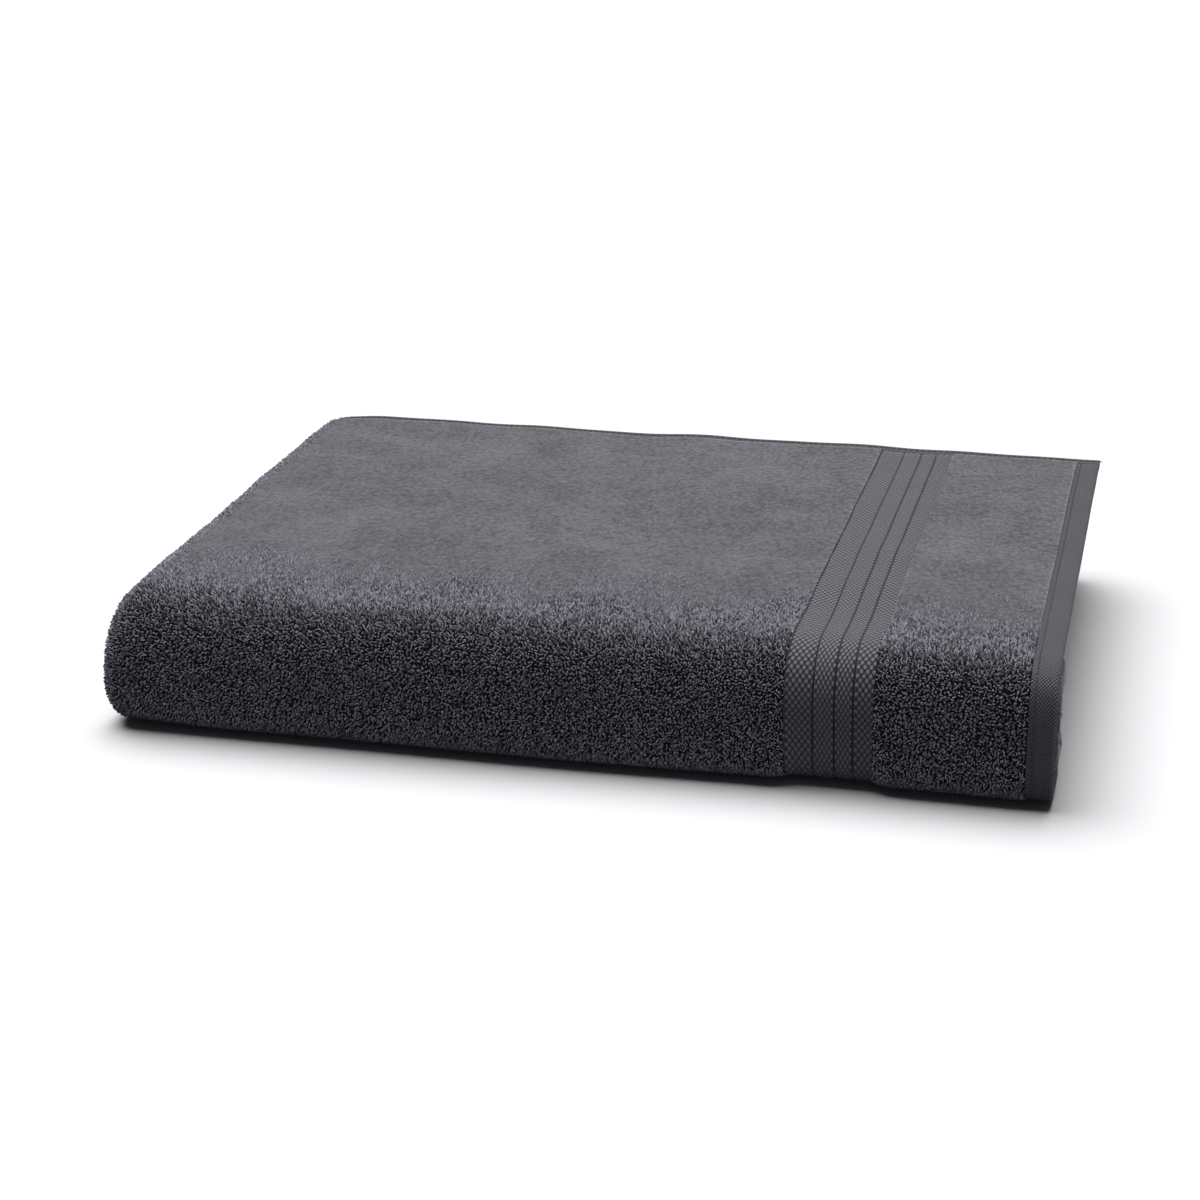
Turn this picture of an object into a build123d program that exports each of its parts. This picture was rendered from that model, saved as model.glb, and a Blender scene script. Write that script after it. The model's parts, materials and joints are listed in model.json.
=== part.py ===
from build123d import *
import math
import os

# A bath towel, folded flat for the shelf. One woven terry cloth is folded in half twice along
# its length, which gives a packet of four layers, and the packet is folded in thirds across
# its width, as a letter is. The last fold is the front edge.
#
# X runs along the packet from the left fold to the hemmed right end, Y from the front fold to
# the back, and Z up. The origin is the middle of the base. All sizes are in millimetres.
#
# Every piece is one outline in the packet's own section, swept along the packet. In that
# section x is the row's X, and depth counts inwards from the packet's outer face. The sweep
# has three spans: the top leaf, the front fold, and the base, which runs back along the
# bottom, round the back fold, and forward again between the bottom and the top leaf.

# The flat cloth.
FLAT_WIDTH = 762.0
FLAT_LENGTH = 1372.0
LAYER = 4.3                     # one layer of terry, with its pile on both faces

# The folded towel.
PACKET_LENGTH = 350.0
PACKET_DEPTH = 268.0
LEAF_GAP = 0.3                  # air between the top leaf and what is under it
BACK_INNER_RADIUS = 0.25        # the packet's inner face turns almost on itself at the back

# The woven end of the cloth, measured back from the end of the hem.
HEM_WIDTH = 9.5
END_STRIP = 52.5                # terry between the hem and the border
BORDER_WIDTH = 31.0
BORDER_SINK = 0.8               # how far the flat weave lies under the pile
GROOVE_OFFSETS = (10.0, 17.5, 24.0)
GROOVE_WIDTH = 0.7
GROOVE_DEPTH = 0.5
HEM_SINK = 0.9
STITCH_INSET = 1.6              # the hem's seam, from the hem's inner edge
STITCH_WIDTH = 0.6
STITCH_HEIGHT = 0.3

# The side hems, which run the length of the cloth along its two selvages.
SIDE_HEM_WIDTH = 8.0
SIDE_HEM_HALF = 1.35

# How far the hemmed end and the fold beside it stand from the packet's right end.
HEM_SETBACK = 1.0

# Worked out from the sizes above.
PACKET = 4 * LAYER
BACK_AXIS_Z = PACKET + BACK_INNER_RADIUS
HEIGHT = 2 * BACK_AXIS_Z + LEAF_GAP + PACKET
FRONT_RADIUS = HEIGHT / 2
FRONT_AXIS_Y = FRONT_RADIUS - PACKET_DEPTH / 2
BACK_EDGE_Y = PACKET_DEPTH / 2
BACK_AXIS_Y = BACK_EDGE_Y - BACK_AXIS_Z - LEAF_GAP
LEFT_AXIS_X = 2 * LAYER - PACKET_LENGTH / 2
RIGHT_AXIS_X = PACKET_LENGTH / 2 - LAYER
FIRST_HEM_X = PACKET_LENGTH / 2 - HEM_SETBACK
SECOND_HEM_X = (
    FLAT_LENGTH
    - (FIRST_HEM_X - LEFT_AXIS_X)
    - 2 * (RIGHT_AXIS_X - LEFT_AXIS_X)
    - math.pi * (1.5 + 0.5 + 0.5) * LAYER
    + LEFT_AXIS_X
)
TOP_START_Y = FRONT_AXIS_Y + LEAF_GAP
FRONT_ARC = math.pi * (FRONT_RADIUS - PACKET / 2)
BACK_ARC = math.pi * (BACK_AXIS_Z - PACKET / 2)
INNER_THIRD = (
    FLAT_WIDTH
    - (BACK_EDGE_Y - FRONT_AXIS_Y)
    - FRONT_ARC
    - (BACK_AXIS_Y - FRONT_AXIS_Y)
    - BACK_ARC
)
INNER_EDGE_Y = BACK_AXIS_Y - INNER_THIRD


# Outlines in the packet's section.

def strip(x_start, x_end, depth_start, depth_end):
    """A straight run of cloth, from x_start to x_end and between two depths."""
    middle = Pos((x_start + x_end) / 2, (depth_start + depth_end) / 2)
    return middle * Rectangle(x_end - x_start, depth_end - depth_start)


def turn(axis_x, axis_depth, outer, inner, side):
    """A half ring of cloth about an axis; side is -1 for a fold at the left, 1 at the right."""
    ring = Circle(outer)
    if inner > 0:
        ring = ring - Circle(inner)
    half = Pos(side * outer, 0) * Rectangle(2 * outer, 4 * outer)
    return Pos(axis_x, axis_depth) * (ring & half)


def layer_strip(x_start, x_end, layer, sink=0.0):
    """A run of one layer, counted from 0 at the outside, thinned by sink on both faces."""
    return strip(x_start, x_end, layer * LAYER + sink, (layer + 1) * LAYER - sink)


def border_strip(x_start, layer):
    """The flat woven border of a layer, with its grooves on the outer face."""
    band = layer_strip(x_start, x_start + BORDER_WIDTH, layer, BORDER_SINK)
    top = layer * LAYER + BORDER_SINK
    for offset in GROOVE_OFFSETS:
        middle = x_start + offset
        groove = strip(middle - GROOVE_WIDTH / 2, middle + GROOVE_WIDTH / 2,
                       top - GROOVE_DEPTH, top + GROOVE_DEPTH)
        band = band - groove
    return band


def hemmed_end(hem_x, layer, prefix):
    """The outlines of one end of the cloth, whose hem ends at hem_x, by name."""
    hem_start = hem_x - HEM_WIDTH
    strip_start = hem_start - END_STRIP
    border_start = strip_start - BORDER_WIDTH
    seam = hem_start + STITCH_INSET
    face = layer * LAYER + HEM_SINK
    return {
        prefix + "terry": layer_strip(LEFT_AXIS_X, border_start, layer),
        prefix + "border": border_strip(border_start, layer),
        prefix + "end_terry": layer_strip(strip_start, hem_start, layer),
        prefix + "hem": layer_strip(hem_start, hem_x, layer, HEM_SINK),
        prefix + "hem_stitch": strip(seam, seam + STITCH_WIDTH, face - STITCH_HEIGHT, face),
    }


def packet_outlines():
    """Every piece of the packet's section but the side hems, by name."""
    outlines = hemmed_end(FIRST_HEM_X, 0, "outer_")
    outlines.update(hemmed_end(SECOND_HEM_X, 1, "second_"))
    outlines["third_terry"] = layer_strip(LEFT_AXIS_X, RIGHT_AXIS_X, 2)
    outlines["inner_terry"] = layer_strip(LEFT_AXIS_X, RIGHT_AXIS_X, 3)
    outlines["left_outer_fold"] = turn(LEFT_AXIS_X, 2 * LAYER, 2 * LAYER, LAYER, -1)
    outlines["left_inner_fold"] = turn(LEFT_AXIS_X, 2 * LAYER, LAYER, 0, -1)
    outlines["right_fold"] = turn(RIGHT_AXIS_X, 3 * LAYER, LAYER, 0, 1)
    return outlines


def whole_cloth(low, high):
    """The whole cloth from end to end, between two heights over its middle surface."""
    runs = [
        strip(LEFT_AXIS_X, FIRST_HEM_X, 0.5 * LAYER - high, 0.5 * LAYER - low),
        turn(LEFT_AXIS_X, 2 * LAYER, 1.5 * LAYER + high, 1.5 * LAYER + low, -1),
        strip(LEFT_AXIS_X, RIGHT_AXIS_X, 3.5 * LAYER + low, 3.5 * LAYER + high),
        turn(RIGHT_AXIS_X, 3 * LAYER, 0.5 * LAYER + high, 0.5 * LAYER + low, 1),
        strip(LEFT_AXIS_X, RIGHT_AXIS_X, 2.5 * LAYER - high, 2.5 * LAYER - low),
        turn(LEFT_AXIS_X, 2 * LAYER, 0.5 * LAYER - low, 0.5 * LAYER - high, -1),
        strip(LEFT_AXIS_X, SECOND_HEM_X, 1.5 * LAYER + low, 1.5 * LAYER + high),
    ]
    outline = runs[0]
    for run in runs[1:]:
        outline = outline + run
    return outline


# Planes that place an outline in the row: depth runs down from a top, or up from a bottom.

def from_top(y, z):
    return Plane(origin=(0, y, z), x_dir=(1, 0, 0), z_dir=(0, 1, 0))


def from_bottom(y, z):
    return Plane(origin=(0, y, z), x_dir=(1, 0, 0), z_dir=(0, -1, 0))


# The three spans.

def top_leaf(outline):
    """The upper third, from the front fold to its side hem at the back edge."""
    length = BACK_EDGE_Y - SIDE_HEM_WIDTH - TOP_START_Y
    return extrude(from_top(TOP_START_Y, HEIGHT) * outline, amount=length)


def front_fold(outline):
    """The half turn at the front, which joins the top leaf to the bottom."""
    axis = Axis((0, FRONT_AXIS_Y, FRONT_RADIUS), (1, 0, 0))
    return revolve(from_top(FRONT_AXIS_Y, HEIGHT) * outline, axis=axis, revolution_arc=180)


def base(outline):
    """The bottom third, the back fold and the inner third, up to its side hem."""
    run = BACK_AXIS_Y - FRONT_AXIS_Y
    bottom = extrude(from_bottom(FRONT_AXIS_Y, 0) * outline, amount=-run)
    axis = Axis((0, BACK_AXIS_Y, BACK_AXIS_Z), (1, 0, 0))
    back = revolve(from_bottom(BACK_AXIS_Y, 0) * outline, axis=axis, revolution_arc=180)
    inner_plane = from_top(BACK_AXIS_Y, 2 * BACK_AXIS_Z)
    inner = extrude(inner_plane * outline, amount=SIDE_HEM_WIDTH - INNER_THIRD)
    return bottom + back + inner


def side_hem(y, height):
    """A side hem of the whole cloth, from y towards the back."""
    outline = whole_cloth(-SIDE_HEM_HALF, SIDE_HEM_HALF)
    return extrude(from_top(y, height) * outline, amount=SIDE_HEM_WIDTH)


def side_hem_stitch(y, height):
    """The seam along the middle of a side hem, on the cloth's outer face."""
    outline = whole_cloth(SIDE_HEM_HALF, SIDE_HEM_HALF + STITCH_HEIGHT)
    seam_y = y + (SIDE_HEM_WIDTH - STITCH_WIDTH) / 2
    return extrude(from_top(seam_y, height) * outline, amount=STITCH_WIDTH)


def all_nodes():
    """Every node's shape by name."""
    nodes = {}
    for name, outline in packet_outlines().items():
        nodes["top_" + name] = top_leaf(outline)
        nodes["front_" + name] = front_fold(outline)
        nodes["base_" + name] = base(outline)
    back_hem_y = BACK_EDGE_Y - SIDE_HEM_WIDTH
    nodes["top_side_hem"] = side_hem(back_hem_y, HEIGHT)
    nodes["top_side_hem_stitch"] = side_hem_stitch(back_hem_y, HEIGHT)
    nodes["base_side_hem"] = side_hem(INNER_EDGE_Y, 2 * BACK_AXIS_Z)
    nodes["base_side_hem_stitch"] = side_hem_stitch(INNER_EDGE_Y, 2 * BACK_AXIS_Z)
    return nodes


os.makedirs("parts", exist_ok=True)
for name, shape in all_nodes().items():
    export_step(shape, "parts/" + name + ".step")
print("height", round(HEIGHT, 2), "inner edge y", round(INNER_EDGE_Y, 2),
      "second hem x", round(SECOND_HEM_X, 2))
print("front axis y", round(FRONT_AXIS_Y, 2), "z", round(FRONT_RADIUS, 2))
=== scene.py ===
import json
import math

import bpy
import numpy as np
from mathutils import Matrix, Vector


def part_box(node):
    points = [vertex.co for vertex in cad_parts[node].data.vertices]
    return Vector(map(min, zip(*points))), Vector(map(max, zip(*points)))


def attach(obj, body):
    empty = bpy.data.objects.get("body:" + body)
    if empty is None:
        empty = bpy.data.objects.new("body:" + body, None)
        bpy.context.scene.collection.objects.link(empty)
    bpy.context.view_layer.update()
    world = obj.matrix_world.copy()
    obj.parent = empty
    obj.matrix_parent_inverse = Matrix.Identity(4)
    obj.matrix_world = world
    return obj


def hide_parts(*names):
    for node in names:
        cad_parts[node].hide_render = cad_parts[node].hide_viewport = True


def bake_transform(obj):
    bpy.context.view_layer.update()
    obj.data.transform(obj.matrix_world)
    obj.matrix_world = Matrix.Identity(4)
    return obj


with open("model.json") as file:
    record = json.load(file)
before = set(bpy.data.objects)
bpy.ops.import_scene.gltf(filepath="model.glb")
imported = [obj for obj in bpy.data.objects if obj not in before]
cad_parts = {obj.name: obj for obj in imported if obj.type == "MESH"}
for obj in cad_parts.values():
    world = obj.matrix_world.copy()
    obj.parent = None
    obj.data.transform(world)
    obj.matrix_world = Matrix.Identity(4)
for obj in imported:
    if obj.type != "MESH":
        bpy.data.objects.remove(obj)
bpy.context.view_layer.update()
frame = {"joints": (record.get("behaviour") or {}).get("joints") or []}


# The camera stands a little to the right of the towel and looks down on it, so that the front
# fold, the top and the border all show.
CAMERA_AZIMUTH = math.radians(13.2)
CAMERA_ELEVATION = math.radians(18.7)
CAMERA_DISTANCE = 1.020
CAMERA_TARGET = Vector((-0.0108, -0.0174, 0.025))
camera_data = bpy.data.cameras.new("camera")
camera_data.lens = 77.7
camera_data.sensor_width = 36.0
camera = bpy.data.objects.new("camera", camera_data)
bpy.context.scene.collection.objects.link(camera)
towards_camera = Vector((
    math.sin(CAMERA_AZIMUTH) * math.cos(CAMERA_ELEVATION),
    -math.cos(CAMERA_AZIMUTH) * math.cos(CAMERA_ELEVATION),
    math.sin(CAMERA_ELEVATION),
))
camera.location = CAMERA_TARGET + towards_camera * CAMERA_DISTANCE
camera.rotation_euler = (-towards_camera).to_track_quat("-Z", "Y").to_euler()
bpy.context.scene.camera = camera
bpy.context.scene.view_settings.view_transform = "Standard"


# The studio: one broad soft light above, behind and to the left, and two weak fills, from the
# front and from the right, that fall on the towel alone. The floor is plain and pale. It sends
# no light back up, so the front fold stays dark over it.
PLAIN_WHITE = (1.0, 1.0, 1.0)
ROOM_BLUE = (0.92, 0.90, 1.0)


def soft_lamp(name, energy, spread, travel, colour=PLAIN_WHITE):
    """A far lamp whose light comes from a patch of sky spread degrees wide."""
    data = bpy.data.lights.new(name, "SUN")
    data.energy = energy
    data.angle = math.radians(spread)
    data.color = colour
    lamp = bpy.data.objects.new(name, data)
    lamp.rotation_euler = Vector(travel).to_track_quat("-Z", "Y").to_euler()
    bpy.context.scene.collection.objects.link(lamp)
    return lamp


soft_lamp("overhead_light", 5.4, 60, (0.22, -0.25, -1.0))
lit_by_fills = bpy.data.collections.new("lit_by_fills")
for fill in (soft_lamp("front_fill", 1.45, 40, (-0.10, 0.78, -0.70), ROOM_BLUE),
             soft_lamp("side_fill", 1.5, 60, (-1.0, 0.10, -0.12), ROOM_BLUE)):
    fill.light_linking.receiver_collection = lit_by_fills

# The room looks white over the floor's edge, and lights the towel only dimly.
world = bpy.data.worlds.new("room")
world.use_nodes = True
room = world.node_tree
room_ray = room.nodes.new("ShaderNodeLightPath")
room_tone = room.nodes.new("ShaderNodeMix")
room_tone.data_type = "RGBA"
room_tone.inputs["A"].default_value = (0.055, 0.054, 0.060, 1.0)
room_tone.inputs["B"].default_value = (1.0, 1.0, 1.0, 1.0)
room.links.new(room_ray.outputs["Is Camera Ray"], room_tone.inputs["Factor"])
room.links.new(room_tone.outputs["Result"], room.nodes["Background"].inputs["Color"])
bpy.context.scene.world = world

FLOOR_HALF = 12.0
floor_mesh = bpy.data.meshes.new("floor")
floor_mesh.from_pydata(
    [(-FLOOR_HALF, -FLOOR_HALF, 0), (FLOOR_HALF, -FLOOR_HALF, 0),
     (FLOOR_HALF, FLOOR_HALF, 0), (-FLOOR_HALF, FLOOR_HALF, 0)],
    [], [(0, 1, 2, 3)])
floor = bpy.data.objects.new("floor", floor_mesh)
bpy.context.scene.collection.objects.link(floor)
floor_paint = bpy.data.materials.new("pale_floor")
floor_paint.use_nodes = True
floor_shader = floor_paint.node_tree.nodes["Principled BSDF"]
floor_shader.inputs["Base Color"].default_value = (0.62, 0.62, 0.63, 1.0)
floor_shader.inputs["Roughness"].default_value = 0.9
floor_mesh.materials.append(floor_paint)
floor.visible_diffuse = False


# How the cloth lies. The towel is one woven cotton cloth, folded in half twice along its length
# and then in thirds across its width. Nothing but its own weight holds it folded, and every
# piece below is a stretch of it.
outer_low, outer_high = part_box("top_outer_terry")
base_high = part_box("base_outer_terry")[1]
hem_low, hem_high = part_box("top_outer_hem")
right_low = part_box("top_right_fold")[0]
border_low, border_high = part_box("top_outer_border")
second_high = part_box("top_second_hem")[1]
side_low, side_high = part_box("top_side_hem")
inner_side_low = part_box("base_side_hem")[0]
hinge = frame["joints"][0]["pos_m"]

LAYER = outer_high.z - outer_low.z
HEIGHT = outer_high.z
FRONT_RADIUS = HEIGHT / 2
FRONT_AXIS_Y = hinge[1]
BACK_RADIUS = base_high.z / 2
BACK_AXIS_Y = base_high.y - BACK_RADIUS
LEFT_AXIS_X = outer_low.x
RIGHT_AXIS_X = right_low.x
SIDE_HEM = side_high.y - side_low.y

TO_LEFT_FOLD = hem_high.x - LEFT_AXIS_X
TO_INNER_LAYER = TO_LEFT_FOLD + 1.5 * math.pi * LAYER
TO_RIGHT_FOLD = TO_INNER_LAYER + RIGHT_AXIS_X - LEFT_AXIS_X
TO_THIRD_LAYER = TO_RIGHT_FOLD + 0.5 * math.pi * LAYER
TO_SMALL_FOLD = TO_THIRD_LAYER + RIGHT_AXIS_X - LEFT_AXIS_X
TO_SECOND_LAYER = TO_SMALL_FOLD + 0.5 * math.pi * LAYER
CLOTH_END = TO_SECOND_LAYER + second_high.x - LEFT_AXIS_X
LEFT_RIDGE = (TO_LEFT_FOLD + TO_INNER_LAYER) / 2

LEAF_END = FRONT_AXIS_Y - side_high.y
FRONT_TURN = math.pi * FRONT_RADIUS
TO_BACK_FOLD = FRONT_TURN + BACK_AXIS_Y - FRONT_AXIS_Y
TO_INNER_THIRD = TO_BACK_FOLD + math.pi * BACK_RADIUS
PACKET_END = TO_INNER_THIRD + BACK_AXIS_Y - inner_side_low.y


# A place on the cloth has three measures: along, from the first hem's end down the cloth's
# length; across, round the folded packet from the top of the front fold, negative on the top
# leaf; and rise, the height over the middle of the cloth's thickness, towards the packet's
# outside at the first end.
def section_of(along, rise):
    """x, and the depth under the packet's outer face, of points of the cloth."""
    outer = (along - TO_LEFT_FOLD) / (1.5 * LAYER)
    right = (along - TO_RIGHT_FOLD) / (0.5 * LAYER)
    small = (along - TO_SMALL_FOLD) / (0.5 * LAYER)
    runs = [
        (TO_LEFT_FOLD, hem_high.x - along, 0.5 * LAYER - rise),
        (TO_INNER_LAYER,
         LEFT_AXIS_X - (1.5 * LAYER + rise) * np.sin(outer),
         2 * LAYER - (1.5 * LAYER + rise) * np.cos(outer)),
        (TO_RIGHT_FOLD, LEFT_AXIS_X + along - TO_INNER_LAYER, 3.5 * LAYER + rise),
        (TO_THIRD_LAYER,
         RIGHT_AXIS_X + (0.5 * LAYER + rise) * np.sin(right),
         3 * LAYER + (0.5 * LAYER + rise) * np.cos(right)),
        (TO_SMALL_FOLD, RIGHT_AXIS_X - along + TO_THIRD_LAYER, 2.5 * LAYER - rise),
        (TO_SECOND_LAYER,
         LEFT_AXIS_X - (0.5 * LAYER - rise) * np.sin(small),
         2 * LAYER + (0.5 * LAYER - rise) * np.cos(small)),
        (math.inf, LEFT_AXIS_X + along - TO_SECOND_LAYER, 1.5 * LAYER + rise),
    ]
    tests = [along < run[0] for run in runs]
    return np.select(tests, [run[1] for run in runs]), np.select(tests, [run[2] for run in runs])


def path_of(across, depth):
    """y and z of points of the packet."""
    front = across / FRONT_RADIUS
    back = (across - TO_BACK_FOLD) / BACK_RADIUS
    runs = [
        (0, FRONT_AXIS_Y - across, HEIGHT - depth),
        (FRONT_TURN,
         FRONT_AXIS_Y - (FRONT_RADIUS - depth) * np.sin(front),
         FRONT_RADIUS + (FRONT_RADIUS - depth) * np.cos(front)),
        (TO_BACK_FOLD, FRONT_AXIS_Y + across - FRONT_TURN, depth),
        (TO_INNER_THIRD,
         BACK_AXIS_Y + (BACK_RADIUS - depth) * np.sin(back),
         BACK_RADIUS - (BACK_RADIUS - depth) * np.cos(back)),
        (math.inf, BACK_AXIS_Y - across + TO_INNER_THIRD, 2 * BACK_RADIUS - depth),
    ]
    tests = [across < run[0] for run in runs]
    return np.select(tests, [run[1] for run in runs]), np.select(tests, [run[2] for run in runs])


def ease(value, start, end):
    """0 before start, 1 after end, and smooth between them."""
    t = np.clip((value - start) / (end - start), 0, 1)
    return t * t * (3 - 2 * t)


def waves(u, v, length, seed):
    """Soft uneven waves between about -1 and 1, with one main wavelength."""
    turns = np.random.default_rng(seed).uniform(0, 1, (5, 3))
    total = np.zeros(np.shape(u))
    for bearing, phase, stretch in turns:
        step = 2 * math.pi / length * (0.7 + 0.6 * stretch)
        angle = 2 * math.pi * bearing
        total = total + np.sin(step * (u * math.cos(angle) + v * math.sin(angle)) + 6.3 * phase)
    return total / 3.2


CORNER = 0.010          # how much the soft back corner rounds off in plan
FRONT_TAPER = 0.0065    # how much shorter the towel is along the front than along the back
LUMP = 0.0008           # how far its faces rise and fall
LEFT_RIPPLE = 0.0003    # how far the left end's outline waves
LOW_CORNER = 0.0015     # how far the front left corner draws in where it meets the floor
BULGE = 0.0012          # how far the front fold swells and sinks along its length
BACK_WAVE = 0.0009      # how far the back edge waves in and out
EDGE_DROOP = 0.0012     # how far the top sinks towards its left edge
BACK_RISE = 0.0016      # how far the looser back fold stands up
RIGHT_SETBACK = 0.0075  # how far the layers under the first hem draw back at the right end
BORDER_DIP = 0.0030     # how far the thin border falls in between the piled stretches


def settled(x, y, z):
    """The exact fold, relaxed as soft cloth lies: lumps, rounded corners and sunken edges."""
    # The front fold is fuller than a half circle, most of all where its own weight presses it
    # on the floor. A fullness of 2 is a circle, and more is squarer.
    upper = 2.25 + 0.45 * ease(x, -0.17, -0.06) + 0.6 * ease(x, 0.08, 0.17)
    lower = 4.6 - 1.4 * ease(-x, 0.12, 0.175)
    fullness = np.where(z > FRONT_RADIUS, upper, lower)
    ahead = np.maximum(FRONT_AXIS_Y - y, 0.0)
    above = z - FRONT_RADIUS
    reach = np.hypot(ahead, above) + 1e-9
    swell = (ahead / reach) ** fullness + np.abs(above / reach) ** fullness
    swell = np.where(ahead > 0, swell ** (-1 / fullness), 1.0)
    y = np.where(ahead > 0, FRONT_AXIS_Y - ahead * swell, y)
    z = FRONT_RADIUS + above * swell
    height = z / HEIGHT

    # The left end leans in towards the front, and its two corners are rounded off.
    left = ease(-x, 0.06, 0.175)
    at_left = ease(-x, 0.145, 0.176)
    tapered = np.clip((0.100 - y) / 0.215, 0, 1)
    corner_back = ease(y, side_high.y - CORNER, side_high.y + 0.001) ** 2
    new_x = x + left * tapered * FRONT_TAPER * height * height + at_left * corner_back * CORNER * 0.7
    new_x = new_x + LEFT_RIPPLE * waves(y, z * 3, 0.045, 11) * at_left
    new_x = new_x + LOW_CORNER * at_left * ease(-y, 0.08, 0.132) * (1 - height) ** 2

    # The long edges wave a little, and the top has low lumps.
    front = ease(-y, 0.02, 0.134)
    at_back = ease(y, 0.110, 0.136)
    new_y = y - front * BULGE * waves(x, z * 0.5, 0.12, 12)
    new_y = new_y + at_back * BACK_WAVE * waves(x, z * 2, 0.09, 13)
    lump = LUMP * (waves(x, y, 0.10, 14) + 0.5 * waves(x, y, 0.045, 15)) * (1 - 0.7 * left)
    droop = EDGE_DROOP * at_left * height * height
    rise = BACK_RISE * np.clip((y + 0.10) / 0.22, 0, 1)
    new_z = z + height * (height * lump + rise - droop)

    # At the right end every layer but the first hem's own is drawn back, from the fold to the
    # back edge.
    under = ease(-z, -0.0485, -0.0440) * ease(y, -0.100, -0.055)
    new_x = new_x - RIGHT_SETBACK * ease(x, 0.105, 0.175) * under

    # The border has no pile, so it falls in where the front fold meets the floor.
    middle = (border_low.x + border_high.x) / 2
    half = (border_high.x - border_low.x) / 2
    in_border = 1 - ease(np.abs(x - middle), half - 0.004, half + 0.006)
    low_front = ease(-y, 0.095, 0.125) * ease(-z, -0.040, -0.012)
    new_y = new_y + BORDER_DIP * in_border * low_front
    return new_x, new_y, new_z


def steps(start, end, size):
    """Even steps from start to end, each no longer than size."""
    return np.linspace(start, end, max(2, int(math.ceil(abs(end - start) / size)) + 1))


def chain(start, *runs):
    """Steps over several runs, each given by its end and its size of step."""
    places = [np.array([start])]
    for end, size in runs:
        places.append(steps(places[-1][-1], end, size)[1:])
    return np.concatenate(places)


def face_of_cloth(alongs, acrosses, height):
    """One face of the cloth as a grid: its points, its four-sided faces and their places."""
    along, across = np.meshgrid(alongs, acrosses, indexing="ij")
    x, depth = section_of(along, height(along, across))
    y, z = path_of(across, depth)
    points = np.stack(settled(x, y, z), -1).reshape(-1, 3)
    index = np.arange(along.size).reshape(along.shape)
    corners = [index[:-1, :-1], index[1:, :-1], index[1:, 1:], index[:-1, 1:]]
    quads = np.stack([corner.ravel() for corner in corners], 1)
    return points, quads, np.stack([along.ravel(), across.ravel()], 1), index


def finish_mesh(name, points, faces, places):
    """A mesh with its faces smooth and its places on the cloth kept, in metres, as a UV map."""
    mesh = bpy.data.meshes.new(name)
    mesh.from_pydata(points.tolist(), [], faces.tolist())
    uv = mesh.uv_layers.new(name="cloth")
    corner_points = np.zeros(len(mesh.loops), np.int32)
    mesh.loops.foreach_get("vertex_index", corner_points)
    uv.data.foreach_set("uv", places[corner_points].astype(np.float32).ravel())
    mesh.polygons.foreach_set("use_smooth", np.ones(len(mesh.polygons), bool))
    pile = mesh.attributes.new("pile", "FLOAT", "POINT")
    pile.data.foreach_set("value", standing(places[:, 0], places[:, 1]).astype(np.float32))
    mesh.update()
    return mesh


def closed_sheet(name, alongs, acrosses, upper, lower):
    """A closed piece of the cloth, between two heights that depend on the place."""
    top, quads, places, index = face_of_cloth(alongs, acrosses, upper)
    bottom = face_of_cloth(alongs, acrosses, lower)[0]
    count = len(top)
    rim = np.concatenate([index[:, 0], index[-1, 1:], index[-2::-1, -1], index[0, -2:0:-1]])
    following = np.roll(rim, -1)
    wall = np.stack([rim, rim + count, following + count, following], 1)
    faces = np.concatenate([quads, quads[:, ::-1] + count, wall])
    return finish_mesh(name, np.concatenate([top, bottom]), faces, np.tile(places, (2, 1)))


# The cloth is made in two spans, one for each part that moves. The leaf's span is the top
# third and the front fold, and it bends round the fold. The lower span is the rest. The real
# cloth goes on unbroken through the line along the underside where they meet.
UNDER_LINE = FRONT_TURN + 0.004
SPANS = (("leaf", True, ("top_", "front_")), ("lower", False, ("base_",)))


def across_leaf(flat, turn):
    """Places from the leaf's side hem to the line on the underside."""
    return chain(LEAF_END + SIDE_HEM, (-0.006, flat), (UNDER_LINE, turn))


def across_base(flat, turn):
    """Places from the line on the underside to the side hem of the inner third."""
    return chain(UNDER_LINE, (TO_BACK_FOLD - 0.004, flat), (TO_INNER_THIRD + 0.004, turn),
                 (PACKET_END - SIDE_HEM, flat))


def place_piece(name, mesh, leaf, materials=()):
    """The piece in the scene, moving with the leaf or the base."""
    piece = bpy.data.objects.new(name, mesh)
    bpy.context.scene.collection.objects.link(piece)
    lit_by_fills.objects.link(piece)
    for material in materials:
        mesh.materials.append(material)
    if leaf:
        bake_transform(piece)
    else:
        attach(piece, "base")
    return piece


cloth_pieces = {}


def lay_cloth(stretch, alongs, flat, turn, upper, lower, material, nodes):
    """One stretch of the cloth, as a piece of the leaf and a piece of the lower span."""
    for span, leaf, prefixes in SPANS:
        acrosses = across_leaf(flat, turn) if leaf else across_base(flat, turn)
        name = span + "_" + stretch
        mesh = closed_sheet(name, alongs, acrosses, upper, lower)
        piece = place_piece(name, mesh, leaf, [material])
        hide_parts(*[prefix + node for prefix in prefixes for node in nodes])
        cloth_pieces[name] = {
            "piece": piece, "with": [],
            "flat": (abs(alongs[-1] - alongs[0]), abs(acrosses[-1] - acrosses[0])),
        }


# The terry: cotton loops woven into a plain ground, dyed charcoal. The pile is brushed and
# pressed flat on the open faces, and stands up in separate curls where the cloth turns.
PILE_DEPTH = 0.0014     # how far the ground lies under the tips of the standing loops
BRUSHED_DEPTH = 0.0002  # and under the surface of the brushed pile
GRAIN_RISE = 0.00010    # how far the brushed pile rises and falls
NAP_START = -0.050      # across: from here towards the fold the pile begins to stand
UNDERLAP = 0.00015      # the gap left for the next layer under the cloth


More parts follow.
